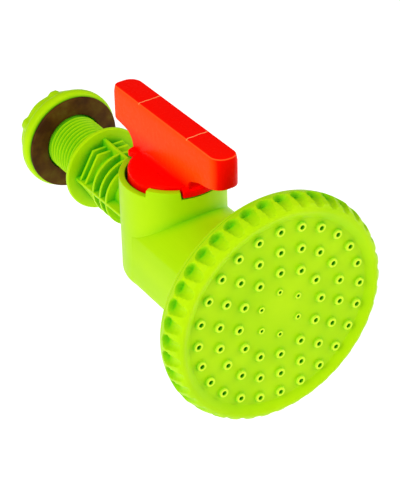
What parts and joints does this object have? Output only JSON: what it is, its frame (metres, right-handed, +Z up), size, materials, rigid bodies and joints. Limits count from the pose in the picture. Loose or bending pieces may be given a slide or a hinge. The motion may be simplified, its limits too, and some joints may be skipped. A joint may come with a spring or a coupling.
{
  "type": "tank tap with watering rose",
  "caption": "Plastic tank tap with threaded inlet, gasket, backnut, quarter-turn plug valve with bar handle, box outlet and screw-off watering rose.",
  "frame": {"origin": "on the inlet pipe's axis, in the back face of the flange that seats on the tank wall", "axes": "+Y along the threaded inlet away from the rose, +Z up along the valve stem, +X to the right when looking from the rose towards the tank"},
  "size_m": [0.082, 0.1459, 0.0844],
  "materials": {
    "lime_plastic": "satin moulded lime-green plastic",
    "red_plastic": "satin moulded red plastic",
    "brown_rubber": "matt mottled dark brown rubber",
    "black_rubber": "matt black rubber",
    "steel": "plain stainless steel"
  },
  "bodies": {
    "tap": {"tap_body": "lime_plastic", "inlet_seat_seal": "black_rubber"},
    "valve": {"plug_handle": "red_plastic", "upper_o_ring": "black_rubber", "lower_o_ring": "black_rubber", "plug_washer": "steel", "plug_screw": "steel"},
    "gasket": {"tank_gasket": "brown_rubber"},
    "nut": {"backnut": "lime_plastic"},
    "seal": {"rose_seal": "black_rubber"},
    "rose": {"rose_cap": "lime_plastic"}
  },
  "joints": [
    {"name": "valve_turn", "type": "hinge", "parent": "tap", "child": "valve", "pos_m": [0, -0.0472, 0], "axis": [0, 0, 1], "range_deg": [0, 90]},
    {"name": "gasket_slide", "type": "slide", "parent": "tap", "child": "gasket", "axis": [0, 1, 0], "range_m": [-0.018, 0.0054]},
    {"name": "nut_turn", "type": "hinge", "parent": "gasket", "child": "nut", "pos_m": [0, 0, 0], "axis": [0, 1, 0], "range_deg": [-3600, 1080]},
    {"name": "rose_seal_slide", "type": "slide", "parent": "tap", "child": "seal", "axis": [0, -1, 0], "range_m": [0, 0.003]},
    {"name": "rose_cap_turn", "type": "hinge", "parent": "seal", "child": "rose", "pos_m": [0, -0.1, 0.0006], "axis": [0, -1, 0], "range_deg": [0, 545]}
  ],
  "couplings": [
    {"joint": "nut_turn", "follows": "gasket_slide", "rad_per_m": 3463.7},
    {"joint": "rose_cap_turn", "follows": "rose_seal_slide", "rad_per_m": 3141.6}
  ]
}
